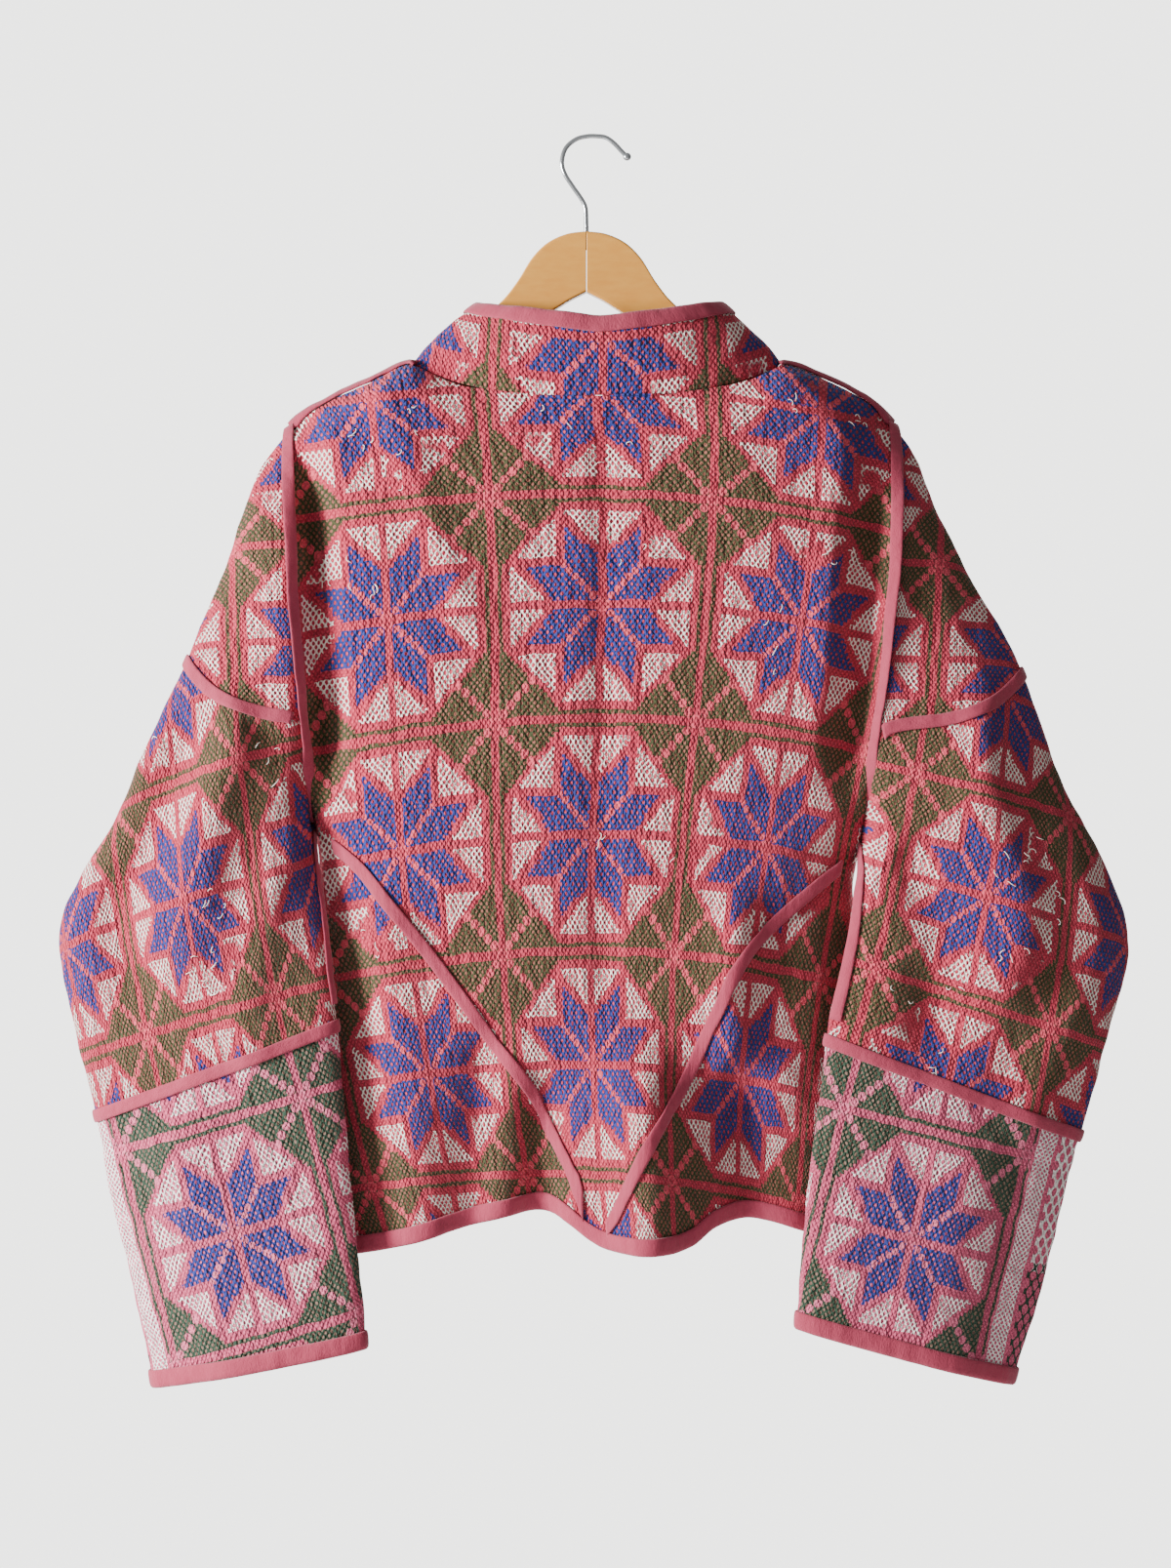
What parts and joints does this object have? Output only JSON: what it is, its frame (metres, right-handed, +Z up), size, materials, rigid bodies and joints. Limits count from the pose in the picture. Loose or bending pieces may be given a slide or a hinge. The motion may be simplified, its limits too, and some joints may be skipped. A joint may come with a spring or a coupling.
{
  "type": "kantha bomber jacket on a wooden hanger",
  "caption": "Quilted cotton bomber jacket with a stand collar, bound seams and deep cuffs, hanging open and flat on a wooden hanger with a wire hook.",
  "frame": {"origin": "inside top of the hanger's hook, where a nail or rail carries it", "axes": "+Z up; the jacket's back faces -Y and its fronts face +Y; the wearer's left sleeve is at -X"},
  "size_m": [0.7628, 0.1056, 0.8946],
  "materials": {
    "kantha_cloth": "layered cotton quilted with close rows of coloured running stitch",
    "cuff_cloth": "layered cotton quilted with close rows of coloured running stitch, lighter",
    "binding_cotton": "plain weave cotton folded as bias binding",
    "hanger_wood": "clear satin lacquer on pale wood",
    "hook_steel": "bright plated wire"
  },
  "bodies": {
    "root": {"hook": "hook_steel", "hanger_arm_left": "hanger_wood", "hanger_arm_right": "hanger_wood", "back_centre": "kantha_cloth", "back_side_left": "kantha_cloth", "back_side_right": "kantha_cloth", "front_left": "kantha_cloth", "front_right": "kantha_cloth", "collar": "kantha_cloth", "sleeve_upper_left": "kantha_cloth", "sleeve_upper_right": "kantha_cloth", "sleeve_lower_left": "kantha_cloth", "sleeve_lower_right": "kantha_cloth", "cuff_left": "cuff_cloth", "cuff_right": "cuff_cloth", "binding_collar": "binding_cotton", "binding_hem": "binding_cotton", "binding_front_left": "binding_cotton", "binding_front_right": "binding_cotton", "binding_shoulder_left": "binding_cotton", "binding_shoulder_right": "binding_cotton", "binding_armhole_left": "binding_cotton", "binding_armhole_right": "binding_cotton", "binding_v_left": "binding_cotton", "binding_v_right": "binding_cotton", "binding_cross_left": "binding_cotton", "binding_cross_right": "binding_cotton", "binding_sleeve_seam_left": "binding_cotton", "binding_sleeve_seam_right": "binding_cotton", "binding_cuff_seam_left": "binding_cotton", "binding_cuff_seam_right": "binding_cotton", "binding_cuff_end_left": "binding_cotton", "binding_cuff_end_right": "binding_cotton"}
  },
  "joints": []
}
